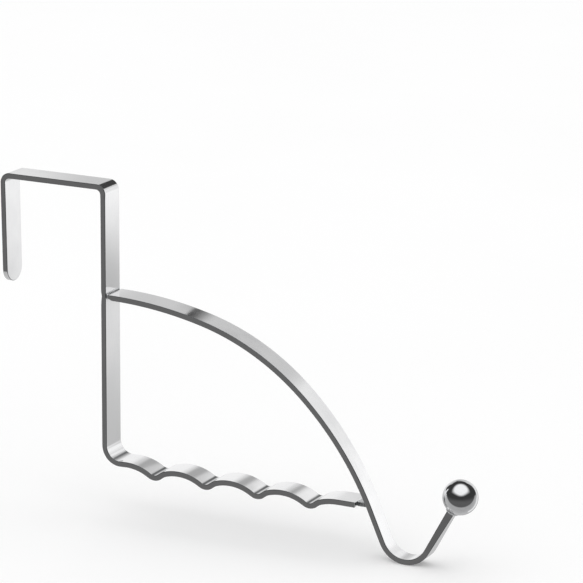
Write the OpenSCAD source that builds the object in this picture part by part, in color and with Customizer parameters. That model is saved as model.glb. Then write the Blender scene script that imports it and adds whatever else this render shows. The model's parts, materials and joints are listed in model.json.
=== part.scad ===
// Over-door hanger in chromed flat strip: a square hook over the door's top, an upright,
// a rail with four dips, and a long arched hook strip that ends in a ball.
// +X runs from the door to the ball, Y across the strip, +Z up.
// The origin is the middle of the bridge's underside, where the hanger rests on the door.

/* [Strip] */
// Width of the flat strip
strip_w = 12; // [10:0.5:16]
// Thickness of the flat strip
strip_t = 2.3; // [2:0.1:2.5]

/* [Door hook] */
// Clear gap between tongue and upright, for the door
door_gap = 46; // [36:1:56]
// Inside radius of the two bends at the top
top_bend_r = 2; // [1.5:0.5:4]
// Drop of the tongue's tip below the bridge's underside
tongue_drop = 45.5; // [36:0.5:56]
// How far the tongue leans in towards the door, in degrees
tongue_lean = 0.9; // [0:0.1:2]
// Height of the upright, from the bridge's underside to the rail's underside
upright_h = 118.7; // [116:0.1:123]

/* [Rail] */
// Inside radius of the bend from the upright to the rail
foot_bend_r = 6; // [5:0.5:7]
// Rise of the rail as it leaves the foot bend, in degrees
rail_rise = 2.7; // [1.5:0.1:3.5]
// Distance between the rail's dips
dip_pitch = 24.25; // [24:0.25:24.5]
// Inside radius at the bottom of a dip
dip_r = 3.1; // [2.8:0.1:3.6]
// Slope of the rail down into a dip, in degrees
dip_descent = 32; // [30:1:34]
// Slope of the rail up out of a dip, in degrees
dip_ascent = 41.4; // [40:0.2:43]
// Slope at which the shoulder runs into the hump, in degrees
hump_entry = 17.2; // [16:0.2:19]
// Radius of the first hump at mid thickness
first_hump_bend = 20.8; // [20:0.2:22]
// Radius of the shoulder after each dip at mid thickness
shoulder_bend = 7.1; // [6.8:0.1:7.6]
// Radius of the last hump at mid thickness
last_hump_bend = 24.4; // [23:0.2:26]
// Length of the straight end of the rail
rail_end_l = 8.1; // [7.4:0.1:8.8]

/* [Hook strip] */
// Drop of the hook strip's top below the bridge's underside
arch_drop = 44.5; // [43:0.5:46]
// Radius of the arch as it leaves the upright
arch_r1 = 178.2; // [176:0.2:182]
// Radius of the arch's middle
arch_r2 = 106; // [104:0.5:108]
// Radius of the arch's lower part
arch_r3 = 132; // [131:0.5:135]
// Angles turned by the three parts of the arch, in degrees
arch_turns = [14.3, 27.85, 24.45];
// Straight run from the arch to the bottom bend
arch_run = 13.8; // [12:0.2:16]
// Inside radius of the bottom bend
throat_r = 9.9; // [9.3:0.1:11]
// Angle that the bottom bend turns through, in degrees
throat_turn = 128.7; // [124:0.1:131]
// Width of the hook strip where the bottom bend begins
throat_w = 8; // [7:0.1:9]
// Width of the stem where it enters the ball
stem_w = 4; // [3.6:0.1:4.8]
// Thickness of the stem where it enters the ball, which grows as the stem is drawn narrower
stem_t = 3.2; // [2.4:0.1:3.6]
// Distance from the bottom bend to the ball's centre
stem_l = 27.5; // [24:0.1:32]

/* [Ball] */
// Diameter of the ball
ball_d = 14.6; // [13:0.1:17]
// Depth that the stem goes into the ball
socket_depth = 5; // [4:0.5:6]
// Clearance round the stem's corners in its socket
socket_clearance = 0.02; // [0.01:0.01:0.05]

/* [Welds] */
// Gap that the upper weld fills between upright and hook strip
root_gap = 0.8; // [0.5:0.1:0.8]
// Radius of the fillet above the hook strip's root
root_fillet = 1; // [0.9:0.1:1.4]
// Radius of the notch left below the hook strip's root
root_notch_r = 1.2; // [1:0.1:1.3]
// Height of the pressed mark across the upright's back, opposite the hook strip
mark_h = 2.8; // [2:0.1:3.5]
// How far the mark's middle lies below the hook strip's
mark_drop = 0.4; // [0:0.1:0.8]
// Depth of that mark
mark_depth = 0.35; // [0.2:0.05:0.5]
// Thickness of the weld block at the rail's end
block_t = 2; // [1.6:0.1:2]
// Width of the weld block at the rail's end
block_w = 7.6; // [6:0.1:8]
// Height of the bead round the stem at the ball
bead_h = 0.9; // [0.6:0.1:1.2]
// Width of that bead round the socket's mouth
bead_w = 0.9; // [0.6:0.1:1.2]

/* [Hidden] */
$fn = 96;

// A strip's path is a list of steps. A straight step is [length, 0], and a bend is
// [radius at mid thickness, angle turned], with a left turn positive.
// A pose is [x, z, heading] at mid thickness.
half_t = strip_t / 2;
// The round at the tongue's tip is this much wider than the strip, so it meets the sides cleanly.
tip_clearance = 0.04;
// Bends are drawn in flats of at most this angle and this length.
flat_turn = 5;
flat_l = 4;
// The arch is drawn with this many sides where the weld block meets it.
fine_sides = 360;
// What is cut away reaches this far past the metal it leaves.
overcut = 1;
top_bend = top_bend_r + half_t;
foot_bend = foot_bend_r + half_t;
upright_x = door_gap / 2;
front_x = upright_x + strip_t;
bridge_half = upright_x + half_t - top_bend;

// The foot bend turns a little past square, which lifts the rail's start by foot_lift.
foot_lift = foot_bend * (1 - cos(rail_rise));
tongue_run = (tongue_drop + half_t - top_bend) / cos(tongue_lean);
upright_run = upright_h + half_t - top_bend - foot_bend - half_t + foot_lift;

// The rail has as many dips as fit between the upright and the arch. One dip is the dip itself,
// a shoulder and a hump, and the hump's radius follows from the pitch.
dip_count = 4;
dip_bend = dip_r + half_t;
shoulder_dx = shoulder_bend * (sin(dip_ascent) - sin(hump_entry));
dip_dx = dip_bend * (sin(dip_descent) + sin(dip_ascent));
hump_bend = (dip_pitch - shoulder_dx - dip_dx) / (sin(hump_entry) + sin(dip_descent));
// Straight run from the foot bend to the first hump
first_run = 2.1;

rail_path = concat(
    [[first_run, 0], [first_hump_bend, -rail_rise - dip_descent]],
    [for (i = [1 : dip_count], part = [0 : 2])
        part == 0 ? [dip_bend, dip_descent + dip_ascent]
        : part == 1 ? [shoulder_bend, hump_entry - dip_ascent]
        : i < dip_count ? [hump_bend, -hump_entry - dip_descent]
        : [last_hump_bend, -hump_entry]],
    [[rail_end_l, 0]]
);

// The door strip's path runs from the tongue's tip to the rail's end.
tongue_path = [[tongue_run, 0], [top_bend, -90 - tongue_lean]];
bridge_path = [[2 * bridge_half, 0], [top_bend, -90], [upright_run, 0], [foot_bend, 90 + rail_rise]];
door_path = concat(tongue_path, bridge_path, rail_path);

// The arch is three bends and a straight run, and the throat is the tight bend after it.
arch_z = -arch_drop - half_t;
throat_bend = throat_r + half_t;
bends_before_lower_arch = 2;
arch_path = [
    [arch_r1, -arch_turns[0]],
    [arch_r2, -arch_turns[1]],
    [arch_r3, -arch_turns[2]],
    [arch_run, 0],
    [throat_bend, throat_turn]
];
arch_steps = len(arch_path) - 1;
ball_r = ball_d / 2;
stem_in_ball = stem_l - ball_r + socket_depth;

function ahead(pose, length) =
    [pose[0] + length * cos(pose[2]), pose[1] + length * sin(pose[2]), pose[2]];

function around(pose, r, turn) = [
    pose[0] + sign(turn) * r * (sin(pose[2] + turn) - sin(pose[2])),
    pose[1] + sign(turn) * r * (cos(pose[2]) - cos(pose[2] + turn)),
    pose[2] + turn
];

function after_step(pose, step) =
    step[1] == 0 ? ahead(pose, step[0]) : around(pose, step[0], step[1]);

function pose_at(start, path, count) =
    count == 0 ? start : after_step(pose_at(start, path, count - 1), path[count - 1]);

function step_length(step) = step[1] == 0 ? step[0] : step[0] * abs(step[1]) * PI / 180;

function length_to(path, count) =
    count == 0 ? 0 : step_length(path[count - 1]) + length_to(path, count - 1);

// Number of flats that one step is drawn in
function flats(step) =
    step[1] == 0 ? 1 : max(ceil(abs(step[1]) / flat_turn), ceil(step_length(step) / flat_l));

function part_of(step, share) = step[1] == 0 ? [step[0] * share, 0] : [step[0], step[1] * share];

// Poses between the steps of a path, with bends split into short flats
function poses_along(start, path) = concat([start], [
    for (i = [0 : len(path) - 1])
    let (begin = pose_at(start, path, i), count = flats(path[i]))
    for (k = [1 : count]) after_step(begin, part_of(path[i], k / count))
]);

function beside(poses, distance) =
    [for (p = poses) [p[0] - distance * sin(p[2]), p[1] + distance * cos(p[2])]];

function reversed(list) = [for (i = [len(list) - 1 : -1 : 0]) list[i]];

bridge_start = [-bridge_half, half_t, 0];
rail_start = pose_at(bridge_start, bridge_path, len(bridge_path));
rail_end = pose_at(rail_start, rail_path, len(rail_path));
tongue_heading = 90 + tongue_lean;
tongue_top = [
    -bridge_half - top_bend * cos(tongue_lean),
    half_t - top_bend * (1 + sin(tongue_lean)),
    tongue_heading
];
tongue_tip = ahead(tongue_top, -tongue_run);
root = [front_x + root_gap, arch_z, 0];
throat_end = pose_at(root, arch_path, len(arch_path));
ball_pose = ahead(throat_end, stem_l);

// The hook strip narrows evenly along the arch, then more quickly along the stem.
arch_l = length_to(arch_path, arch_steps);
function arch_w(count) = strip_w + (throat_w - strip_w) * length_to(arch_path, count) / arch_l;
mouth = ahead(throat_end, stem_l - ball_r);
stem_end = ahead(throat_end, stem_in_ball);
taper = concat(
    [for (i = [0 : arch_steps]) [pose_at(root, arch_path, i)[0], arch_w(i) / 2]],
    [[throat_end[0], throat_w / 2]],
    [[mouth[0], stem_w / 2], [mouth[0] + ball_d, stem_w / 2]]
);

// One long side of the hook strip, with way = 1 for its upper side and -1 for its underside
function hook_side(way) = concat(
    beside(poses_along(root, arch_path), way * half_t),
    beside([mouth, stem_end], way * stem_t / 2)
);

// Centre of the arch's lower part, whose inner side the rail's end faces
lower_arch = pose_at(root, arch_path, bends_before_lower_arch);
arch_centre = [
    lower_arch[0] + arch_r3 * sin(lower_arch[2]),
    lower_arch[1] - arch_r3 * cos(lower_arch[2])
];

socket_r = norm([stem_w, stem_t]) / 2 + socket_clearance;

// The notch just reaches past the upright's face, and most of it lies below the hook strip.
notch_reach = 0.05;
notch_x = front_x + root_notch_r - notch_reach;
notch_z = -arch_drop - strip_t - root_notch_r / 3;
mark_z = arch_z - mark_drop;

// The bead at the ball flares out along the ball's skin and fills the socket's mouth.
bead_flare = 1.2;
bead_fill = 0.6;
bead_start = -ball_r - bead_h / 2;

// Stands a shape drawn in the strip's own plane upright, so its Y becomes +Z.
module stand() {
    rotate([90, 0, 0]) children();
}

// A strip between its two long sides
module strip(upper, lower) {
    linear_extrude(strip_w, center = true)
        polygon(concat(upper, reversed(lower)));
}

// Moves a shape from the origin to a pose
module at_pose(pose) {
    translate([pose[0], pose[1], 0])
        rotate([0, 0, pose[2]])
        children();
}

// What is cut from the tongue's tip to leave it a full round, as wide as the strip
module tip_corners() {
    at_pose(tongue_tip)
        difference() {
            translate([-overcut, -strip_t, -strip_w])
                cube([overcut + strip_w / 2, 2 * strip_t, 2 * strip_w]);
            translate([strip_w / 2, 0, 0])
                rotate([90, 0, 0])
                cylinder(d = strip_w + tip_clearance, h = 3 * strip_t, center = true);
        }
}

// Shallow mark that the welding electrode leaves across the upright's back
module weld_mark() {
    translate([upright_x - overcut, mark_z - mark_h / 2, -strip_w])
        cube([overcut + mark_depth, mark_h, 2 * strip_w]);
}

// Tongue, bridge, upright and rail in one bar
module door_strip() {
    poses = poses_along(tongue_tip, door_path);
    color("silver")
        stand()
        difference() {
            strip(beside(poses, half_t), beside(poses, -half_t));
            tip_corners();
            weld_mark();
        }
}

// Round notch below the root, where the weld did not run in
module root_notch() {
    translate([notch_x, notch_z, -strip_w])
        cylinder(r = root_notch_r, h = 2 * strip_w);
}

// The hook strip's outline from above, drawn tall enough to hold the whole strip
module taper_outline() {
    points = concat(taper, reversed([for (p = taper) [p[0], -p[1]]]));
    translate([0, 0, -2 * upright_h])
        linear_extrude(4 * upright_h)
        polygon(points);
}

// Arch, throat and stem in one narrowing bar
module hook_strip() {
    color("silver")
        intersection() {
            stand()
                difference() {
                    strip(hook_side(1), hook_side(-1));
                    root_notch();
                }
            taper_outline();
        }
}

// What is cut from the ball for the stem's end
module stem_socket() {
    translate([-ball_r - bead_h, 0, 0])
        rotate([0, 90, 0])
        cylinder(r = socket_r, h = socket_depth + bead_h);
}

// Ball with a blind socket for the stem
module ball_end() {
    color("gainsboro")
        stand()
        at_pose(ball_pose)
        difference() {
            sphere(r = ball_r);
            stem_socket();
        }
}

// Weld metal between the upright's face and the hook strip's cut end, with a fillet above it
module upper_weld() {
    top_z = arch_z + half_t;
    color("darkgray")
        stand()
        difference() {
            translate([front_x, top_z - strip_t, -strip_w / 2])
                cube([root_fillet, strip_t + root_fillet, strip_w]);
            translate([front_x + root_gap, top_z - 2 * strip_t, -strip_w])
                cube([root_fillet, 2 * strip_t, 2 * strip_w]);
            translate([front_x + root_fillet, top_z + root_fillet, -strip_w])
                cylinder(r = root_fillet, h = 2 * strip_w);
            root_notch();
        }
}

// Weld block from the rail's cut end to the back of the hook strip
module rail_end_weld() {
    color("darkgray")
        stand()
        intersection() {
            at_pose(rail_end)
                translate([0, -block_t / 2, -block_w / 2])
                cube([strip_w, block_t, block_w]);
            translate([arch_centre[0], arch_centre[1], -strip_w])
                cylinder(r = arch_r3 - half_t, h = 2 * strip_w, $fn = fine_sides);
        }
}

// Bead that closes the socket's mouth round the stem
module ball_weld() {
    bead_r = socket_r + bead_w;
    color("darkgray")
        difference() {
            stand()
                at_pose(ball_pose)
                difference() {
                    translate([bead_start, 0, 0])
                        rotate([0, 90, 0])
                        cylinder(r1 = socket_r, r2 = bead_r, h = bead_h / 2 + bead_flare);
                    difference() {
                        sphere(r = ball_r);
                        stem_socket();
                    }
                    translate([bead_fill - ball_r, 0, 0])
                        rotate([0, 90, 0])
                        cylinder(r = ball_r, h = ball_d);
                }
            hook_strip();
        }
}

door_strip();
hook_strip();
ball_end();
upper_weld();
rail_end_weld();
ball_weld();
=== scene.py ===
"""Over-door hanger in chromed flat strip, on a plain pale floor.

Everything is in metres and degrees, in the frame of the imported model: +X runs from the door out to
the ball, Y goes across the strip and +Z is up. The two strips are swept along the same bends as
their CAD nodes, with rounded edges, and the ball and the three welds are built where the frame
says. A path is a list of steps: (length, 0) is straight, and (radius, angle) is a bend at mid
thickness that turns left when the angle is positive. A pose is (x, z, heading).
"""

import json
import math

import bpy
import numpy as np
from mathutils import Matrix, Vector


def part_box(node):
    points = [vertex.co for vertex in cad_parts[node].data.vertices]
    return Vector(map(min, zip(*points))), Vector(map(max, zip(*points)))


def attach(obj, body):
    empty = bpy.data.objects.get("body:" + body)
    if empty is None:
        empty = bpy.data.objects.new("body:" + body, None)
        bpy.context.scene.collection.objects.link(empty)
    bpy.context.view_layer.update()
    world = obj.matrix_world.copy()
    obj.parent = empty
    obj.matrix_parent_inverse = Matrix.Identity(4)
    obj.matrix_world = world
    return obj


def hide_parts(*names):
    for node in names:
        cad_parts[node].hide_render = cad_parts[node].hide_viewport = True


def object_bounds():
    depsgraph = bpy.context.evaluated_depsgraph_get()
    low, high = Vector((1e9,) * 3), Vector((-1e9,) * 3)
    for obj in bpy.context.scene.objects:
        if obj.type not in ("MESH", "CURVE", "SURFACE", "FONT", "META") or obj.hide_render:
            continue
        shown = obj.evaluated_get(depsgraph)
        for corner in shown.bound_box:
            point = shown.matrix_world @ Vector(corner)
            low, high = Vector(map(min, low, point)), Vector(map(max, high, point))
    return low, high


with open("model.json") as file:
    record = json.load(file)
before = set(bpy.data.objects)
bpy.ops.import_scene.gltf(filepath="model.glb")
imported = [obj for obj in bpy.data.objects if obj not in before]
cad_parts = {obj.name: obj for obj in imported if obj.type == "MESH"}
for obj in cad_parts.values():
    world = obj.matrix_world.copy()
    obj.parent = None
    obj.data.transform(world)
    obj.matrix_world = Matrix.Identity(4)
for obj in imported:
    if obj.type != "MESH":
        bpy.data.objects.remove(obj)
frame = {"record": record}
cad_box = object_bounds()

MM = 0.001

# The strip, its rounded corners, and the fineness of its rings
STRIP_T = 2.3 * MM
HALF_T = STRIP_T / 2
EDGE_R = 0.24 * MM
CORNER_STEPS = 5
BEND_STEP = 2.5
STRAIGHT_STEP = 2.0 * MM
FLAT_CELLS = 6

# How far a bend squeezes the edge out on its inner side, for each unit of strain there
EDGE_BULGE = 0.45 * MM
EDGE_POWER = 6
BEND_EASE = 0.9 * MM

# Turn of the last ring at a cut end, just short of square
END_TURN = 88

# Fineness of the round tip and of turned shapes, and the radius that stands for a closed point
TIP_STEPS = 24
LATHE_SIDES = 96
BALL_STEPS = 60
TINY = 0.005 * MM

# Vectors shorter than these have no direction of their own
NEARLY_ZERO = 1e-12
GRAZING = 0.05

# The door hook
TOP_BEND = 3.15 * MM
TONGUE_LEAN = 0.9
TONGUE_DROP = 45.5 * MM
UPRIGHT_H = 118.7 * MM
FOOT_BEND = 7.15 * MM

# The rail
RAIL_RISE = 2.7
FIRST_RUN = 2.1 * MM
FIRST_HUMP = 20.8 * MM
LAST_HUMP = 24.4 * MM
DIP_COUNT = 4
DIP_PITCH = 24.25 * MM
DIP_BEND = 4.25 * MM
DIP_DESCENT = 32.0
DIP_ASCENT = 41.4
SHOULDER_BEND = 7.1 * MM
HUMP_ENTRY = 17.2
RAIL_END_L = 8.1 * MM

# Painted shade in the hollow of a tight bend: its place in the bend, its reach and its depth
DIP_CREASE_SHADE = (0.3, 1.5 * MM, 0.7)
FOOT_CREASE_SHADE = (0.68, 1.0 * MM, 0.6)

# The hook strip
ARCH_DROP = 44.5 * MM
ROOT_GAP = 0.8 * MM
ARCH = [(178.2 * MM, -14.3), (106 * MM, -27.85), (132 * MM, -24.45), (13.8 * MM, 0)]
THROAT = (11.05 * MM, 128.7)
THROAT_W = 8.0 * MM
STEM_W = 4.0 * MM
STEM_T = 3.2 * MM
STEM_L = 27.5 * MM
SOCKET_DEPTH = 5.0 * MM
SOCKET_R = 2.58 * MM

# The welds
MARK_H = 2.8 * MM
MARK_DEPTH = 0.35 * MM
MARK_DROP = 0.4 * MM
MARK_POWER = 4
NOTCH_R = 1.2 * MM
NOTCH_SET = 0.35 * MM
NOTCH_SINK = 0.4 * MM
BLOCK_T = 2.0 * MM
BLOCK_W = 7.6 * MM
BLOCK_NECK = 0.3
BLOCK_POWER = 10
FILLET_R = 0.8 * MM
FILLET_STEPS = 8
BEAD_H = 0.9 * MM
BEAD_SINK = 0.15 * MM
BEAD_INSET = 0.6 * MM
BEAD_CLOSING = 0.35
BEAD_RINGS = 60
BALL_BEAD_W = 0.45 * MM
BALL_BEAD_MOUTH = 0.9 * SOCKET_R

# Ripples in the weld metal: how many there are, and how high
UPPER_RIPPLES = (9, 0.03)
BLOCK_RIPPLES = (3, 0.006)
BALL_RIPPLES = (14, 0.035 * MM)
RIPPLED_SHARE = 0.9
WELD_WORN = 0.5

# The camera
CAMERA_AZ = 26.827
CAMERA_EL = 14.972
CAMERA_ROLL = 0.387
CAMERA_LENS = 214.74
CAMERA_RIGHT = 96.957 * MM
CAMERA_UP = -46.051 * MM
CAMERA_BACK = 1453.27 * MM
CAMERA_SENSOR = 36
CAMERA_CLIP = (0.05, 20)

# Soft lamps: place, size and power
KEY_LAMP = ((0.5, -0.7, 1.4), 0.9, 0.5)
FILL_LAMP = ((-0.9, 0.4, 1.1), 0.8, 0.25)

# Below, a ramp is (low, high) where it goes from 0 to 1, or (low, high, start, end)

# The chrome: streaks, cloudy patches, duller worn corners, painted shade on the corners and in the
# hollows, and faint waves
BAR_CHROME = {
    "streaks": (40, 5200, 1),
    "bright": (0.93, 0.93, 0.935),
    "dull": (0.82, 0.825, 0.835),
    "rough": (0.05, 0.13),
}
BALL_CHROME = {
    "streaks": (900, 300, 1),
    "bright": (0.72, 0.725, 0.735),
    "dull": (0.64, 0.645, 0.655),
    "rough": (0.04, 0.09),
}
STREAK_DETAIL = 4.0
CLOUD_SCALE = 90.0
WAVE_SCALE = 160.0
WEAR_BY_CLOUD = (0.3, 0.7)
DULL_BY_PATCH = (0.35, 0.7, 0.0, 0.6)
DULL_BY_WEAR_AND_SHADE = 0.4
ROUGH_BY_PATCH = (0.3, 0.75)
ROUGH_BY_WEAR = 0.1
# Painted shade: the dark tone laid along the rounded corners and into the hollows of tight bends
PAINTED_SHADE_TONE = (0.16, 0.165, 0.17)
PAINTED_SHADE_BY_MARK = (0.1, 0.7)
PAINTED_SHADE_BY_CLOUD = (0.2, 0.5, 0.8, 1.0)
STREAK_HEIGHT = 0.05
CHROME_BUMP = 0.1

# The weld metal: a fine cloud and finer pits
WELD_DARK = (0.55, 0.56, 0.57)
WELD_LIGHT = (0.78, 0.79, 0.80)
WELD_CLOUD_SCALE = 900.0
WELD_CLOUD_DETAIL = 5.0
WELD_PIT_SCALE = 2600.0
WELD_PIT_DETAIL = 2.0
WELD_PIT_HEIGHT = 0.4
WELD_SHADE = (0.3, 0.7)
WELD_ROUGH = (0.3, 0.7, 0.2, 0.34)
WELD_BUMP = 0.25
BUMP_DISTANCE = 0.05 * MM

# The floor
FLOOR_REACH = 6.0
FLOOR_DARK = (0.93, 0.93, 0.93)
FLOOR_PALE = (0.95, 0.95, 0.95)
FLOOR_MOTTLE = 6.0

# What the chrome mirrors by direction: a sweep behind and below, the room, and a soft box above
DEGREES = 180 / math.pi
SWEEP_EL = -46.0
SWEEP_REACH = 84.0
SWEEP_EDGE = 4.0
SWEEP_LIGHT = (-0.3, 0.95, 0.46, 0.7)
SWEEP_TOP = (0.1, -0.02)
ROOM_LIGHT = (-0.3, 0.2, 0.17, 0.06)
BOX_EL = 70.0
BOX_TALL = 46.0
BOX_BROAD = 0.78
BOX_EDGE = (1.12, 0.68)
BOX_LIGHT = 1.5
PLAIN_LIGHT = 1.04

# The light screen that stands behind the hanger, seen only in the chrome
SCREEN_R = 350 * MM
SCREEN_TOP = 166 * MM
SCREEN_FOOT = -600 * MM
SCREEN_FROM = -75
SCREEN_TO = 78
SCREEN_STEP = 3

# Its light, by height in millimetres (_Z) and by the swing from straight back in degrees (_AT)
MAIN_Z = (5, 65, 0.93, 0.62)
MAIN_LOW_Z = (-120, -260, 1.0, 0.6)
LEFT_AT = (-13, -19, 0, 0.18)
LEFT_Z = (50, 60)
WINDOW_AT = (16, 28, 0, 0.3)
WINDOW_TOP_Z = (112, 98)
WINDOW_LOW_Z = (45, 65)
BAND_LEFT_AT = (-1, 4)
BAND_RIGHT_AT = (22, 14)
BAND_LOW_Z = (45, 72)
BAND_TOP_Z = (112, 102)
BAND_DIM = 0.34
SEAM_LEFT_AT = (2.4, 3.2)
SEAM_RIGHT_AT = (8.5, 3.4)
SEAM_Z = (100, 110)
SEAM_DIM = 0.88
BRIGHT_Z = (-40, 20, 0.98, 0.85)
BRIGHT_AT = (52, 64, 0, 0.07)
WALL_Z = (-143, -88, 0.56, 0.0)
TABLE_Z = (-224, -158, 0.46, 0.25)
HORIZON_Z = (-150, -147)
LOW_LEFT_AT = (40, 46)
LOW_RIGHT_AT = (56, 50)
RIGHT_SIDE_AT = (40, 51)
GAP_LEFT_AT = (4, 14)
GAP_RIGHT_AT = (36, 24)
GAP_TOP_Z = (45, 25)
GAP_LOW_Z = (-120, -60)
GAP_DIM = 0.34
SLOPE_AT = 53.0
SLOPE_RISE = 11.0
SLOPE_Z = (120, 97)
LEFT_CUT_AT = (-21, -27)
LEFT_CUT_Z = (-70, -30)
OFF_SCREEN = 0.06


# ---------------------------------------------------------------- paths


def sin(angle):
    return math.sin(math.radians(angle))


def cos(angle):
    return math.cos(math.radians(angle))


def step_length(step):
    return step[0] if step[1] == 0 else step[0] * math.radians(abs(step[1]))


def after(pose, step, share=1.0):
    """The pose after a share of one step."""
    x, z, heading = pose
    size, turn = step
    if turn == 0:
        return (x + size * share * cos(heading), z + size * share * sin(heading), heading)
    side = math.copysign(size, turn)
    end = heading + turn * share
    return (x + side * (sin(end) - sin(heading)), z + side * (cos(heading) - cos(end)), end)


def walk(pose, path):
    for step in path:
        pose = after(pose, step)
    return pose


def stations(start, path):
    """(pose, distance, curvature) at every ring along a path, close together in the bends."""
    found = [(start, 0.0, 0.0)]
    pose, run = start, 0.0
    for step in path:
        length, turn = step_length(step), step[1]
        curvature = 0.0 if turn == 0 else math.copysign(1 / step[0], turn)
        pieces = math.ceil(length / STRAIGHT_STEP) if turn == 0 else math.ceil(abs(turn) / BEND_STEP)
        pieces = max(pieces, math.ceil(length / STRAIGHT_STEP))
        for k in range(1, pieces + 1):
            share = k / pieces
            found.append((after(pose, step, share), run + length * share, curvature))
        pose, run = after(pose, step), run + length
    return found


def place(pose, across, out):
    """The point that is across the strip and out from its middle surface, at a pose."""
    x, z, heading = pose
    return np.array((x - out * sin(heading), across, z + out * cos(heading)))


# ---------------------------------------------------------------- meshes


class Surface:
    """Points, with a normal, a UV and a value for wear and painted shade each, and the faces between
    them.
    """

    def __init__(self):
        self.points = []
        self.normals = []
        self.uvs = []
        self.worn = []
        self.faces = []
        self.caps = []

    def add_points(self, points, normals, uvs, worn):
        first = len(self.points)
        self.points.extend(tuple(map(float, p)) for p in points)
        self.normals.extend(tuple(map(float, n)) for n in normals)
        self.uvs.extend(tuple(map(float, uv)) for uv in uvs)
        self.worn.extend(map(float, worn))
        return first

    def add_face(self, corners, cap=False):
        """A cap is flat, and keeps its own normal."""
        self.faces.append(tuple(corners))
        self.caps.append(cap)

    def add_tube(self, rings, size, open_start=False):
        """Quads between rings of points that close round on themselves, and a cap at each end."""
        for i in range(rings - 1):
            low, high = i * size, (i + 1) * size
            for j in range(size):
                k = (j + 1) % size
                self.add_face((low + j, low + k, high + k, high + j))
        if not open_start:
            self.add_face(reversed(range(size)), cap=True)
        self.add_face(range((rings - 1) * size, rings * size), cap=True)

    def piece(self, name, slot, material, *nodes):
        """Makes the surface into a visible piece that stands for its CAD nodes."""
        data = bpy.data.meshes.new(name)
        data.from_pydata(self.points, [], self.faces)
        data.update()
        normals = [None] * len(data.loops)
        uvs = [None] * len(data.loops)
        for polygon in data.polygons:
            polygon.use_smooth = True
            for k in polygon.loop_indices:
                vertex = data.loops[k].vertex_index
                own = tuple(polygon.normal)
                normals[k] = own if self.caps[polygon.index] else self.normals[vertex]
                uvs[k] = self.uvs[vertex]
        layer = data.uv_layers.new(name="strip")
        layer.data.foreach_set("uv", np.array(uvs, np.float32).ravel())
        # Marks for wear and for painted shade, read by the chrome
        wear_and_shade_mask = data.attributes.new("worn", "FLOAT", "POINT")
        wear_and_shade_mask.data.foreach_set("value", np.array(self.worn, np.float32))
        data.normals_split_custom_set(normals)
        data.materials.append(material)
        made = bpy.data.objects.new(name, data)
        bpy.context.scene.collection.objects.link(made)
        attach(made, "root")
        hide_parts(*nodes)


def rounded_section(half_w, half_t, radius):
    """Points and outward directions round a rectangle with rounded corners, as (across, out)."""
    points, outward = [], []
    for side, face, begin in ((1, 1, 0), (-1, 1, 90), (-1, -1, 180), (1, -1, 270)):
        centre = (side * (half_w - radius), face * (half_t - radius))
        for k in range(CORNER_STEPS + 1):
            angle = begin + 90 * k / CORNER_STEPS
            points.append((centre[0] + radius * cos(angle), centre[1] + radius * sin(angle)))
            outward.append((cos(angle), sin(angle)))
        if begin in (0, 180):
            for k in range(1, FLAT_CELLS):
                share = 1 - 2 * k / FLAT_CELLS
                points.append((side * (half_w - radius) * share, face * half_t))
                outward.append((0, face))
    return points, outward


def true_normals(rings, outward):
    """Outward directions turned square to the run of the surface from ring to ring."""
    along = np.gradient(rings, axis=0)
    along /= np.maximum(np.linalg.norm(along, axis=2, keepdims=True), NEARLY_ZERO)
    square = outward - (outward * along).sum(2, keepdims=True) * along
    size = np.linalg.norm(square, axis=2, keepdims=True)
    return np.where(size > GRAZING, square / np.maximum(size, GRAZING), outward)


def ring_uvs(rings, runs):
    """Distance along the piece and distance round it, in metres."""
    steps = np.linalg.norm(np.diff(rings, axis=1), axis=2)
    around = np.concatenate([np.zeros((len(rings), 1)), np.cumsum(steps, axis=1)], axis=1)
    along = np.repeat(np.array(runs)[:, None], rings.shape[1], axis=1)
    return np.stack([along, around], axis=2).reshape(-1, 2)


def eased(values, runs, reach):
    """Values smoothed over a reach of distance, as a real bend starts and stops gently."""
    values, runs = np.array(values), np.array(runs)
    weights = np.exp(-(((runs[:, None] - runs[None, :]) / reach) ** 2)) * np.gradient(runs)[None, :]
    return (weights * values[None, :]).sum(1) / weights.sum(1)


def end_round(station, way):
    """Stations that close in over one corner radius at a cut end, as (pose, run, bend, inset)."""
    pose, run = station[:2]
    found = []
    for k in range(CORNER_STEPS + 1):
        angle = END_TURN * k / CORNER_STEPS
        back = EDGE_R * (1 - sin(angle))
        inset = EDGE_R * (1 - cos(angle))
        found.append((after(pose, (-way * back, 0)), run - way * back, 0.0, inset))
    return found if way > 0 else found[::-1]


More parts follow.
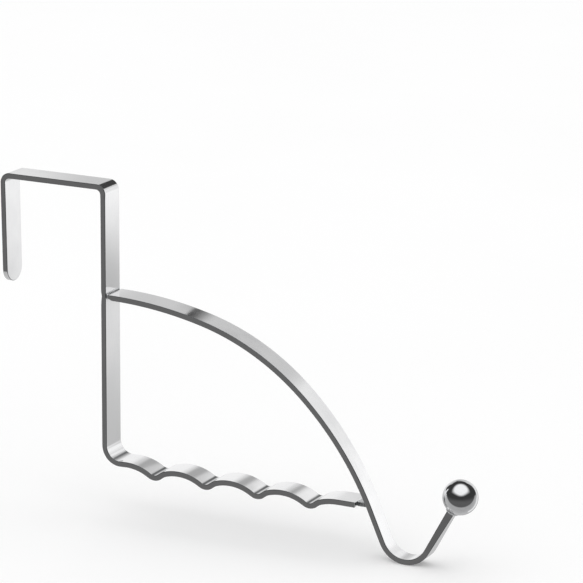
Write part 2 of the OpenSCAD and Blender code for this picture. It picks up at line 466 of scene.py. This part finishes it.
def swept_bar(start, path, half_width, half_thick, dent, crease_shade=lambda run: 0.0, open_start=False):
    """A bar of rounded section along a path, as a surface.

    half_width, half_thick, dent and the crease shade are functions of the distance along it. dent is
    how far the face at -out is pressed in, and the crease shade is how much painted shade darkens the
    plate on the face at +out. The start is left open where another shape closes it.
    """
    found = [(*station, 0.0) for station in stations(start, path)]
    found = found[:-1] + end_round(found[-1], 1)
    if not open_start:
        found = end_round(found[0], -1) + found[1:]
    runs = [station[1] for station in found]
    bends = eased([station[2] for station in found], runs, BEND_EASE)
    rings, outward, worn = [], [], []
    for (pose, run, _, inset), bend in zip(found, bends):
        width, thick = half_width(run) - inset, half_thick(run)
        points, directions = rounded_section(width, thick - inset, EDGE_R - inset)
        pressed = dent(run)
        ring = []
        for across, out in points:
            edge = (abs(across) / width) ** EDGE_POWER
            across += math.copysign(EDGE_BULGE, across) * bend * out * edge
            ring.append(place(pose, across, out + pressed * (thick - out) / (2 * thick)))
        rings.append(ring)
        origin = place(pose, 0, 0)
        outward.append([place(pose, *direction) - origin for direction in directions])
        # Marks for wear and painted shade: a painted dark line round the corners, and painted shade on
        # the face at +out in the hollow bends
        worn.append([max(2 * abs(across * out), crease_shade(run) * out) for across, out in directions])
    rings, outward = np.array(rings), np.array(outward)
    count, size = rings.shape[:2]
    surface = Surface()
    surface.add_points(
        rings.reshape(-1, 3),
        true_normals(rings, outward).reshape(-1, 3),
        ring_uvs(rings, runs),
        np.array(worn).ravel(),
    )
    surface.add_tube(count, size, open_start)
    return surface


def add_round_tip(surface, start):
    """Closes a bar's open first ring with half a disc that has the same rounded edge."""
    corner = CORNER_STEPS + 1
    flat = FLAT_CELLS - 1
    size = 4 * corner + 2 * flat
    right = list(range(corner - 1, -1, -1)) + list(range(size - 1, size - 1 - corner, -1))
    left = list(range(corner + flat, 3 * corner + flat))
    points, directions = rounded_section(strip_half_w, HALF_T, EDGE_R)
    spokes = [right]
    for k in range(1, TIP_STEPS):
        angle = 180 * k / TIP_STEPS
        spoke = []
        for j in right:
            across, out = points[j]
            pose = after(start, (-across * sin(angle), 0))
            point = place(pose, across * cos(angle), out)
            side, face = directions[j]
            ahead = place(after(start, (-side * sin(angle), 0)), side * cos(angle), face)
            uv = (-across * sin(angle), across * cos(angle))
            normal = ahead - place(start, 0, 0)
            # The tip's corners are marked for wear and for the painted dark line along the edge
            spoke.append(surface.add_points([point], [normal], [uv], [2 * abs(side * face)]))
        spokes.append(spoke)
    spokes.append(left)
    for one, two in zip(spokes, spokes[1:]):
        for j in range(len(one) - 1):
            surface.add_face((one[j], one[j + 1], two[j + 1], two[j]))
    top = range(corner + flat - 1, corner - 1, -1)
    bottom = range(size - corner - 1, size - corner - flat - 1, -1)
    surface.add_face([spoke[0] for spoke in spokes] + list(top), cap=True)
    surface.add_face([spoke[-1] for spoke in reversed(spokes)] + list(bottom), cap=True)


def lathe(profile, origin, axis, ripple=lambda angle, share: 0.0):
    """A closed surface turned round an axis. profile is (distance along the axis, radius)."""
    turn = axis.to_track_quat("Z", "Y")
    profile = np.array(profile)
    slope = np.gradient(profile, axis=0)
    slope /= np.maximum(np.linalg.norm(slope, axis=1, keepdims=True), NEARLY_ZERO)
    rings, outward, worn = [], [], []
    for i, (height, radius) in enumerate(profile):
        ring, directions = [], []
        for k in range(LATHE_SIDES):
            angle = 360 * k / LATHE_SIDES
            wide = max(radius + ripple(angle, i / (len(profile) - 1)), TINY)
            ring.append(origin + turn @ Vector((wide * cos(angle), wide * sin(angle), height)))
            rise, run = -slope[i][1], slope[i][0]
            directions.append(turn @ Vector((run * cos(angle), run * sin(angle), rise)))
        rings.append(ring)
        outward.append(directions)
        worn.append([0.0] * LATHE_SIDES)
    rings, outward = np.array(rings), np.array(outward)
    uvs = ring_uvs(rings, profile[:, 0])
    surface = Surface()
    surface.add_points(rings.reshape(-1, 3), outward.reshape(-1, 3), uvs, np.array(worn).ravel())
    surface.add_tube(len(rings), LATHE_SIDES)
    return surface


# ---------------------------------------------------------------- where things are

mounts = {mount["name"]: mount for mount in frame["record"]["mounts"]}
upright_x = mounts["door_face_rest"]["pos_m"][0]
front_x = upright_x + STRIP_T
bar_low, bar_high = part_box("door_strip")
strip_half_w = (bar_high.y - bar_low.y) / 2
ball_low, ball_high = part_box("ball_end")
ball_centre = (ball_low + ball_high) / 2
ball_r = (ball_high.y - ball_low.y) / 2

bridge_half = upright_x + HALF_T - TOP_BEND
foot_lift = FOOT_BEND * (1 - cos(RAIL_RISE))
tongue_run = (TONGUE_DROP + HALF_T - TOP_BEND) / cos(TONGUE_LEAN)
upright_run = UPRIGHT_H - TOP_BEND - FOOT_BEND + foot_lift
hump_span = DIP_PITCH - SHOULDER_BEND * (sin(DIP_ASCENT) - sin(HUMP_ENTRY))
hump_span -= DIP_BEND * (sin(DIP_DESCENT) + sin(DIP_ASCENT))
hump_bend = hump_span / (sin(HUMP_ENTRY) + sin(DIP_DESCENT))

tongue_top = (
    -bridge_half - TOP_BEND * cos(TONGUE_LEAN),
    HALF_T - TOP_BEND * (1 + sin(TONGUE_LEAN)),
    90 + TONGUE_LEAN,
)
tongue_tip = after(tongue_top, (-tongue_run, 0))
arch_top_z = -ARCH_DROP
arch_root = (front_x + ROOT_GAP, arch_top_z - HALF_T, 0.0)
arch_l = sum(step_length(step) for step in ARCH)
throat_l = step_length(THROAT)
stem_shown = STEM_L - ball_r
throat_end = walk(arch_root, ARCH + [THROAT])
stem_axis = Vector((cos(throat_end[2]), 0, sin(throat_end[2])))


def rail_path():
    path = [(FIRST_RUN, 0), (FIRST_HUMP, -RAIL_RISE - DIP_DESCENT)]
    for i in range(DIP_COUNT):
        path.append((DIP_BEND, DIP_DESCENT + DIP_ASCENT))
        path.append((SHOULDER_BEND, HUMP_ENTRY - DIP_ASCENT))
        if i < DIP_COUNT - 1:
            path.append((hump_bend, -HUMP_ENTRY - DIP_DESCENT))
    return path + [(LAST_HUMP, -HUMP_ENTRY), (RAIL_END_L, 0)]


bridge_path = [(2 * bridge_half, 0), (TOP_BEND, -90), (upright_run, 0), (FOOT_BEND, 90 + RAIL_RISE)]
tongue_path = [(tongue_run - strip_half_w, 0), (TOP_BEND, -90 - TONGUE_LEAN)]
tip_start = after(tongue_tip, (strip_half_w, 0))


# ---------------------------------------------------------------- pieces


def crease_shade_spots(path):
    """(distance, reach, depth) of the painted shade in each hollow bend of the door bar."""
    found, run = [], 0.0
    for step in path:
        for bend, (share, reach, depth) in ((DIP_BEND, DIP_CREASE_SHADE), (FOOT_BEND, FOOT_CREASE_SHADE)):
            if step[0] == bend:
                found.append((run + step_length(step) * share, reach, depth))
        run += step_length(step)
    return found


def door_bar(material):
    """Tongue, bridge, upright, foot bend and rail in one bar, with a full round tip."""
    before_upright = sum(step_length(step) for step in tongue_path + bridge_path[:2])
    mark_run = before_upright + HALF_T - TOP_BEND - (arch_top_z - HALF_T - MARK_DROP)

    def dent(run):
        """The electrode's mark across the upright's back, opposite the hook strip"""
        return MARK_DEPTH * max(0.0, 1 - (abs(run - mark_run) / (MARK_H / 2)) ** MARK_POWER)

    path = tongue_path + bridge_path + rail_path()
    crease_shades = crease_shade_spots(path)

    def crease_shade(run):
        """Painted shade in the hollow bends"""
        return max(depth * math.exp(-(((run - spot) / reach) ** 2)) for spot, reach, depth in crease_shades)

    surface = swept_bar(
        tip_start, path, lambda run: strip_half_w, lambda run: HALF_T, dent, crease_shade, open_start=True
    )
    add_round_tip(surface, tip_start)
    surface.piece("door_bar", "chromed_strip", material, "door_strip")


def hook_bar(material):
    """The arched strut and the upturned hook in one bar that narrows towards the ball."""

    def down_stem(run):
        return min(max((run - arch_l - throat_l) / stem_shown, 0.0), 1.0)

    def half_width(run):
        if run < arch_l:
            return strip_half_w + (THROAT_W / 2 - strip_half_w) * run / arch_l
        return (THROAT_W + (STEM_W - THROAT_W) * down_stem(run)) / 2

    def half_thick(run):
        return (STRIP_T + (STEM_T - STRIP_T) * down_stem(run)) / 2

    def dent(run):
        """The round notch below the root"""
        off = abs(run - NOTCH_SET)
        return max(0.0, math.sqrt(NOTCH_R**2 - off**2) - NOTCH_SINK) if off < NOTCH_R else 0.0

    path = ARCH + [THROAT, (stem_shown + SOCKET_DEPTH, 0)]
    surface = swept_bar(arch_root, path, half_width, half_thick, dent)
    surface.piece("hook_bar", "chromed_strip", material, "hook_strip")


def ball(material):
    """A turned ball with a blind socket for the stem."""
    mouth = math.degrees(math.asin(SOCKET_R / ball_r))
    floor = -ball_r * cos(mouth) + SOCKET_DEPTH
    profile = [(floor, TINY), (floor, SOCKET_R), (-ball_r * cos(mouth) + EDGE_R, SOCKET_R)]
    for k in range(BALL_STEPS + 1):
        angle = mouth + (180 - mouth) * k / BALL_STEPS
        profile.append((-ball_r * cos(angle), max(ball_r * sin(angle), TINY)))
    surface = lathe(profile, ball_centre, stem_axis)
    surface.piece("ball", "chromed_ball", material, "ball_end")


def rippled(share, count, height):
    return height * math.sin(2 * math.pi * count * share)


def rings_piece(rings, name, material, node):
    """Makes a closed piece of weld metal from rings of points."""
    rings = np.array(rings)
    around = np.roll(rings, -1, axis=1) - np.roll(rings, 1, axis=1)
    along = np.gradient(rings, axis=0)
    outward = np.cross(around, along)
    outward /= np.maximum(np.linalg.norm(outward, axis=2, keepdims=True), NEARLY_ZERO)
    runs = np.linalg.norm(rings.mean(1) - rings.mean(1)[0], axis=1)
    count, size = rings.shape[:2]
    worn = [WELD_WORN] * (count * size)
    surface = Surface()
    surface.add_points(rings.reshape(-1, 3), outward.reshape(-1, 3), ring_uvs(rings, runs), worn)
    surface.add_tube(count, size)
    surface.piece(name, "plated_weld", material, node)


def upper_bead_profile():
    """The upper bead's section as (x, z), from the upright's face and the hook strip's top face."""
    profile = [(-BEAD_SINK, FILLET_R)]
    for k in range(FILLET_STEPS + 1):
        angle = 180 + 90 * k / FILLET_STEPS
        profile.append((FILLET_R + FILLET_R * cos(angle), FILLET_R + FILLET_R * sin(angle)))
    profile.append((ROOT_GAP + BEAD_SINK, -BEAD_SINK))
    notch_x, notch_z = ROOT_GAP + NOTCH_SET, -STRIP_T - NOTCH_SINK
    for k in range(FILLET_STEPS + 1):
        x = (ROOT_GAP + BEAD_SINK) * (1 - k / FILLET_STEPS)
        profile.append((x, notch_z + math.sqrt(NOTCH_R**2 - (x - notch_x) ** 2)))
    profile.append((-BEAD_SINK, profile[-1][1]))
    return np.array(profile)


def upper_bead(material):
    """Weld metal between the upright and the hook strip's root, laid across the strip."""
    profile = upper_bead_profile()
    middle = profile.mean(0)
    half = strip_half_w - BEAD_INSET
    rings = []
    for i in range(BEAD_RINGS + 1):
        share = i / BEAD_RINGS
        y = half * (2 * share - 1)
        close = max(0.0, 1 - (half - abs(y)) / BEAD_INSET) ** 2
        swell = 1 - BEAD_CLOSING * close + rippled(share, *UPPER_RIPPLES)
        section = middle + (profile - middle) * swell
        rings.append([(front_x + x, y, arch_top_z + z) for x, z in section])
    rings_piece(rings, "upper_bead", material, "upper_weld")


def rail_end_bead(material):
    """The inset block of weld metal between the rail's cut end and the hook strip."""
    low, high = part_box("rail_end_weld")
    z = (low.z + high.z) / 2
    rings = []
    for i in range(BEAD_RINGS + 1):
        share = i / BEAD_RINGS
        x = low.x - BEAD_SINK + (high.x - low.x + BEAD_SINK) * share
        swell = 1 - BLOCK_NECK * (2 * share - 1) ** BLOCK_POWER + rippled(share, *BLOCK_RIPPLES)
        points, _ = rounded_section(BLOCK_W / 2 * swell, BLOCK_T / 2 * swell, EDGE_R)
        rings.append([(x, across, z + out) for across, out in points])
    rings_piece(rings, "rail_end_bead", material, "rail_end_weld")


def ball_bead(material):
    """A low bead that closes the socket's mouth round the stem."""
    reach = SOCKET_R + BALL_BEAD_W
    foot = -math.sqrt(ball_r**2 - reach**2)
    crown = -ball_r - BEAD_H / 2
    profile = [(crown, TINY)]
    for k in range(FILLET_STEPS + 1):
        angle = 90 * k / FILLET_STEPS
        height = foot - (foot - crown) * cos(angle)
        profile.append((height, reach - (reach - BALL_BEAD_MOUTH) * (1 - sin(angle))))
    profile.append((foot + BEAD_SINK, reach - BEAD_SINK))
    profile.append((foot + BEAD_SINK, TINY))

    def ripple(angle, share):
        return rippled(angle / 360, *BALL_RIPPLES) if 0 < share < RIPPLED_SHARE else 0.0

    surface = lathe(profile, ball_centre, stem_axis, ripple)
    surface.piece("ball_bead", "plated_weld", material, "ball_weld")


# ---------------------------------------------------------------- materials


class Nodes:
    """A small helper that adds and links shader nodes."""

    def __init__(self, tree):
        self.tree = tree

    def add(self, kind, **settings):
        node = self.tree.nodes.new("ShaderNode" + kind)
        for name, value in settings.items():
            setattr(node, name, value)
        return node

    def link(self, output, target):
        self.tree.links.new(output, target)

    def feed(self, node, index, value):
        if isinstance(value, (int, float)):
            node.inputs[index].default_value = value
        else:
            self.link(value, node.inputs[index])

    def maths(self, operation, first, second=0.0):
        node = self.add("Math", operation=operation)
        self.feed(node, 0, first)
        self.feed(node, 1, second)
        return node.outputs[0]

    def ramp(self, value, low, high, start=0.0, end=1.0):
        """value taken smoothly from start to end as it goes from low to high"""
        node = self.add("MapRange", interpolation_type="SMOOTHSTEP")
        self.feed(node, 0, value)
        for index, number in enumerate((low, high, start, end), 1):
            self.feed(node, index, number)
        return node.outputs[0]

    def product(self, *values):
        """All the values multiplied together"""
        total = values[0]
        for value in values[1:]:
            total = self.maths("MULTIPLY", total, value)
        return total

    def mixed(self, share, first, second):
        """first at share 0, second at share 1"""
        kept = self.maths("MULTIPLY", self.maths("SUBTRACT", 1.0, share), first)
        return self.maths("ADD", kept, self.maths("MULTIPLY", share, second))

    def dimmed(self, value, share):
        """value with a share of it taken away"""
        return self.maths("MULTIPLY", value, self.maths("SUBTRACT", 1.0, share))

    def dot(self, vector, direction):
        node = self.add("VectorMath", operation="DOT_PRODUCT")
        self.link(vector, node.inputs[0])
        node.inputs[1].default_value = direction
        return node.outputs["Value"]

    def scaled(self, vector, scale):
        node = self.add("Mapping")
        self.link(vector, node.inputs["Vector"])
        node.inputs["Scale"].default_value = scale
        return node.outputs["Vector"]

    def noise(self, vector, scale, detail=3.0):
        node = self.add("TexNoise")
        self.link(vector, node.inputs["Vector"])
        node.inputs["Scale"].default_value = scale
        node.inputs["Detail"].default_value = detail
        return node.outputs["Fac"]

    def colours(self, value, first, second):
        """first where value is 0, second where it is 1"""
        node = self.add("MixRGB")
        self.link(value, node.inputs["Fac"])
        node.inputs["Color1"].default_value = (*first, 1)
        node.inputs["Color2"].default_value = (*second, 1)
        return node.outputs["Color"]

    def toned(self, colour, share, tone):
        """colour taken towards a darker tone by a share"""
        node = self.add("MixRGB")
        self.link(share, node.inputs["Fac"])
        self.link(colour, node.inputs["Color1"])
        node.inputs["Color2"].default_value = (*tone, 1)
        return node.outputs["Color"]

    def bump(self, height, strength, shader):
        node = self.add("Bump")
        node.inputs["Strength"].default_value = strength
        node.inputs["Distance"].default_value = BUMP_DISTANCE
        self.link(height, node.inputs["Height"])
        self.link(node.outputs["Normal"], shader.inputs["Normal"])


def new_metal(name):
    """A metal material's shader and its node helper."""
    material = bpy.data.materials.new(name)
    material.use_nodes = True
    tree = material.node_tree
    shader = tree.nodes["Principled BSDF"]
    shader.inputs["Metallic"].default_value = 1.0
    return material, shader, Nodes(tree)


def chrome(name, streaks, bright, dull, rough):
    """Polished chrome plate: streaks, faint waves, duller plate on worn corners, and painted shade: a
    dark line along the corners and darker plate in the hollows of tight bends.
    """
    material, shader, nodes = new_metal(name)
    strip = nodes.add("UVMap", uv_map="strip").outputs["UV"]
    spot = nodes.add("TexCoord").outputs["Object"]
    worn = nodes.add("Attribute", attribute_name="worn").outputs["Fac"]
    fine = nodes.noise(nodes.scaled(strip, streaks), 1.0, STREAK_DETAIL)
    cloud = nodes.noise(spot, CLOUD_SCALE)
    wear_and_shade_mask = nodes.product(worn, nodes.ramp(cloud, *WEAR_BY_CLOUD))
    patch = nodes.mixed(0.5, fine, cloud)

    # Duller plate in cloudy patches and where worn, and painted shade in the hollows of tight bends
    shade = nodes.maths("ADD", nodes.ramp(patch, *DULL_BY_PATCH), nodes.product(wear_and_shade_mask, DULL_BY_WEAR_AND_SHADE))
    # Painted shade: corners and hollow bends are taken towards a dark tone, which stands for the dark
    # room mirrored along the corners
    corner = nodes.product(nodes.ramp(worn, *PAINTED_SHADE_BY_MARK), nodes.ramp(cloud, *PAINTED_SHADE_BY_CLOUD))
    plate = nodes.toned(nodes.colours(shade, bright, dull), corner, PAINTED_SHADE_TONE)
    nodes.link(plate, shader.inputs["Base Color"])

    grain = nodes.ramp(patch, *ROUGH_BY_PATCH, *rough)
    roughness = nodes.maths("ADD", grain, nodes.product(wear_and_shade_mask, ROUGH_BY_WEAR))
    nodes.link(roughness, shader.inputs["Roughness"])

    waves = nodes.noise(spot, WAVE_SCALE, 1.0)
    nodes.bump(nodes.maths("ADD", nodes.product(fine, STREAK_HEIGHT), waves), CHROME_BUMP, shader)
    return material


def weld_metal(name):
    """Plated weld metal: greyer than the bars, with fine solidification ripples and pits."""
    material, shader, nodes = new_metal(name)
    spot = nodes.add("TexCoord").outputs["Object"]
    cloud = nodes.noise(spot, WELD_CLOUD_SCALE, WELD_CLOUD_DETAIL)
    pits = nodes.noise(spot, WELD_PIT_SCALE, WELD_PIT_DETAIL)
    plate = nodes.colours(nodes.ramp(cloud, *WELD_SHADE), WELD_DARK, WELD_LIGHT)
    nodes.link(plate, shader.inputs["Base Color"])
    nodes.link(nodes.ramp(cloud, *WELD_ROUGH), shader.inputs["Roughness"])
    nodes.bump(nodes.maths("ADD", cloud, nodes.product(pits, WELD_PIT_HEIGHT)), WELD_BUMP, shader)
    return material


def pale_paper(name):
    """A matt, nearly white studio floor with the faintest mottle."""
    material = bpy.data.materials.new(name)
    material.use_nodes = True
    shader = material.node_tree.nodes["Principled BSDF"]
    nodes = Nodes(material.node_tree)
    mottle = nodes.noise(nodes.add("TexCoord").outputs["Object"], FLOOR_MOTTLE)
    nodes.link(nodes.colours(mottle, FLOOR_DARK, FLOOR_PALE), shader.inputs["Base Color"])
    shader.inputs["Roughness"].default_value = 1.0
    shader.inputs["Specular IOR Level"].default_value = 0.0
    return material


# ---------------------------------------------------------------- studio


def floor():
    """A pale floor under the hook's lowest point. Mirrors see the studio's own floor light."""
    data = bpy.data.meshes.new("floor")
    sides = ((-1, -1), (1, -1), (1, 1), (-1, 1))
    corners = [(x * FLOOR_REACH, y * FLOOR_REACH, cad_box[0].z) for x, y in sides]
    data.from_pydata(corners, [], [(0, 1, 2, 3)])
    data.materials.append(pale_paper("pale_paper"))
    made = bpy.data.objects.new("floor", data)
    bpy.context.scene.collection.objects.link(made)
    made.visible_glossy = False


def main_glow(nodes, swing, z):
    """The screen's main light: it falls off upwards and lifts again at both ends of its upper part."""
    main = nodes.product(nodes.ramp(z, *MAIN_Z), nodes.ramp(z, *MAIN_LOW_Z))
    left = nodes.product(nodes.ramp(swing, *LEFT_AT), nodes.ramp(z, *LEFT_Z))
    window = nodes.product(
        nodes.ramp(swing, *WINDOW_AT), nodes.ramp(z, *WINDOW_TOP_Z), nodes.ramp(z, *WINDOW_LOW_Z)
    )
    main = nodes.maths("ADD", main, nodes.maths("ADD", left, window))

    # A soft grey band and a thin dark seam cross it near the middle
    band = nodes.product(
        nodes.ramp(swing, *BAND_LEFT_AT),
        nodes.ramp(swing, *BAND_RIGHT_AT),
        nodes.ramp(z, *BAND_LOW_Z),
        nodes.ramp(z, *BAND_TOP_Z),
        BAND_DIM,
    )
    seam = nodes.product(
        nodes.ramp(swing, *SEAM_LEFT_AT),
        nodes.ramp(swing, *SEAM_RIGHT_AT),
        nodes.ramp(z, *SEAM_Z),
        SEAM_DIM,
    )
    return nodes.dimmed(main, nodes.maths("ADD", band, seam))


def right_glow(nodes, swing, z):
    """The brighter right side, with a wall that darkens down to a lit table."""
    bright = nodes.maths("ADD", nodes.ramp(z, *BRIGHT_Z), nodes.ramp(swing, *BRIGHT_AT))
    low = nodes.mixed(nodes.ramp(z, *HORIZON_Z), nodes.ramp(z, *TABLE_Z), nodes.ramp(z, *WALL_Z))
    low = nodes.product(low, nodes.ramp(swing, *LOW_LEFT_AT), nodes.ramp(swing, *LOW_RIGHT_AT))
    return nodes.dimmed(bright, low)


def screen_glow(name):
    """Light of the screen by place on it."""
    material = bpy.data.materials.new(name)
    material.use_nodes = True
    tree = material.node_tree
    tree.nodes.clear()
    nodes = Nodes(tree)
    spot = nodes.add("TexCoord").outputs["Object"]
    deep = nodes.dot(spot, (-sin(CAMERA_AZ), cos(CAMERA_AZ), 0))
    wide = nodes.dot(spot, (cos(CAMERA_AZ), sin(CAMERA_AZ), 0))
    swing = nodes.product(nodes.maths("ARCTAN2", wide, deep), DEGREES)
    z = nodes.maths("DIVIDE", nodes.dot(spot, (0, 0, 1)), MM)

    right_side = nodes.ramp(swing, *RIGHT_SIDE_AT)
    level = nodes.mixed(right_side, main_glow(nodes, swing, z), right_glow(nodes, swing, z))
    gap = nodes.product(
        nodes.ramp(swing, *GAP_LEFT_AT),
        nodes.ramp(swing, *GAP_RIGHT_AT),
        nodes.ramp(z, *GAP_TOP_Z),
        nodes.ramp(z, *GAP_LOW_Z),
        GAP_DIM,
    )
    level = nodes.dimmed(level, gap)

    # Both upper corners of the screen are cut away
    slope = nodes.maths("ADD", z, nodes.product(nodes.maths("SUBTRACT", swing, SLOPE_AT), SLOPE_RISE))
    left_cut = nodes.product(nodes.ramp(swing, *LEFT_CUT_AT), nodes.ramp(z, *LEFT_CUT_Z))
    kept = nodes.dimmed(nodes.ramp(slope, *SLOPE_Z), left_cut)
    level = nodes.mixed(kept, OFF_SCREEN, level)

    glow = nodes.add("Emission")
    nodes.link(level, glow.inputs["Strength"])
    nodes.link(glow.outputs[0], nodes.add("OutputMaterial").inputs["Surface"])
    return material


def light_screen():
    """A curved screen behind the hanger, in front of the dark of the room, that only mirrors see."""
    centre = Vector(((cad_box[0].x + cad_box[1].x) / 2, 0, 0))
    turns = range(SCREEN_FROM, SCREEN_TO + 1, SCREEN_STEP)
    points = []
    for z in (SCREEN_FOOT, SCREEN_TOP):
        for swing in turns:
            bearing = swing - CAMERA_AZ
            points.append((SCREEN_R * sin(bearing), SCREEN_R * cos(bearing), z))
    count = len(turns)
    data = bpy.data.meshes.new("light_screen")
    data.from_pydata(points, [], [(i, i + 1, count + i + 1, count + i) for i in range(count - 1)])
    data.materials.append(screen_glow("screen_glow"))
    made = bpy.data.objects.new("light_screen", data)
    made.location = centre
    made.visible_camera = False
    made.visible_diffuse = False
    made.visible_shadow = False
    bpy.context.scene.collection.objects.link(made)


def camera():
    """The photograph's long view, from the right and a little above."""
    az, el, roll = CAMERA_AZ, CAMERA_EL, CAMERA_ROLL
    back = Vector((sin(az) * cos(el), -cos(az) * cos(el), sin(el)))
    right = Vector((cos(az), sin(az), 0))
    up = back.cross(right)
    tilted_right = right * cos(roll) + up * sin(roll)
    tilted_up = up * cos(roll) - right * sin(roll)
    data = bpy.data.cameras.new("camera")
    data.sensor_width = CAMERA_SENSOR
    data.lens = CAMERA_LENS
    data.clip_start, data.clip_end = CAMERA_CLIP
    made = bpy.data.objects.new("camera", data)
    spot = tilted_right * CAMERA_RIGHT + tilted_up * CAMERA_UP + back * CAMERA_BACK
    turn = Matrix((tilted_right, tilted_up, back)).transposed()
    made.matrix_world = Matrix.Translation(spot) @ turn.to_4x4()
    bpy.context.scene.collection.objects.link(made)
    bpy.context.scene.camera = made


def lamp(name, spot, size, power):
    """A soft lamp that shapes the floor's shade and that mirrors don't see."""
    data = bpy.data.lights.new(name, "AREA")
    data.size = size
    data.energy = power
    made = bpy.data.objects.new(name, data)
    made.location = spot
    made.rotation_mode = "QUATERNION"
    made.rotation_quaternion = (Vector(spot) - ball_centre / 2).to_track_quat("Z", "Y")
    made.visible_glossy = False
    bpy.context.scene.collection.objects.link(made)


def box_glow(nodes, deep, wide, high):
    """A soft oval box of light in front and above."""
    lift = nodes.product(nodes.maths("ARCTAN2", high, nodes.product(deep, -1.0)), DEGREES)
    tall = nodes.maths("DIVIDE", nodes.maths("SUBTRACT", lift, BOX_EL), BOX_TALL)
    broad = nodes.maths("DIVIDE", wide, BOX_BROAD)
    square = nodes.maths("ADD", nodes.maths("POWER", tall, 2.0), nodes.maths("POWER", broad, 2.0))
    return nodes.product(nodes.ramp(nodes.maths("SQRT", square), *BOX_EDGE), BOX_LIGHT)


def room_glow(nodes, toward):
    """A light sweep behind and below, a dark room in front, and the soft box."""
    away = (-sin(CAMERA_AZ), cos(CAMERA_AZ), 0)
    side = (cos(CAMERA_AZ), sin(CAMERA_AZ), 0)
    deep = nodes.dot(toward, away)
    wide = nodes.dot(toward, side)
    high = nodes.dot(toward, (0, 0, 1))
    sweep_axis = (away[0] * cos(SWEEP_EL), away[1] * cos(SWEEP_EL), sin(SWEEP_EL))
    sweep_edge = (cos(SWEEP_REACH + SWEEP_EDGE), cos(SWEEP_REACH - SWEEP_EDGE))
    sweep = nodes.product(
        nodes.ramp(nodes.dot(toward, sweep_axis), *sweep_edge),
        nodes.ramp(high, *SWEEP_TOP),
        nodes.ramp(deep, *SWEEP_LIGHT),
    )
    level = nodes.maths("ADD", sweep, nodes.ramp(high, *ROOM_LIGHT))
    return nodes.maths("ADD", level, box_glow(nodes, deep, wide, high))


def studio_light():
    """The light from all around: plain for the floor, and the room for mirrors.

    The room is drawn by direction only, in the part's own frame, so it stays put in every view.
    """
    world = bpy.data.worlds.new("studio")
    bpy.context.scene.world = world
    world.use_nodes = True
    tree = world.node_tree
    tree.nodes.clear()
    nodes = Nodes(tree)
    mirrored = nodes.add("Background")
    level = room_glow(nodes, nodes.add("TexCoord").outputs["Generated"])
    nodes.link(level, mirrored.inputs["Strength"])
    plain = nodes.add("Background")
    plain.inputs["Color"].default_value = (1, 1, 1, 1)
    plain.inputs["Strength"].default_value = PLAIN_LIGHT
    mix = nodes.add("MixShader")
    nodes.link(nodes.add("LightPath").outputs["Is Glossy Ray"], mix.inputs[0])
    nodes.link(plain.outputs[0], mix.inputs[1])
    nodes.link(mirrored.outputs[0], mix.inputs[2])
    nodes.link(mix.outputs[0], nodes.add("OutputWorld").inputs["Surface"])


camera()
floor()
studio_light()
light_screen()
lamp("key_lamp", *KEY_LAMP)
lamp("fill_lamp", *FILL_LAMP)
bpy.context.scene.view_settings.view_transform = "Standard"

bar_chrome = chrome("bar_chrome", **BAR_CHROME)
ball_chrome = chrome("ball_chrome", **BALL_CHROME)
weld_grey = weld_metal("weld_grey")

door_bar(bar_chrome)
hook_bar(bar_chrome)
ball(ball_chrome)
upper_bead(weld_grey)
rail_end_bead(weld_grey)
ball_bead(weld_grey)
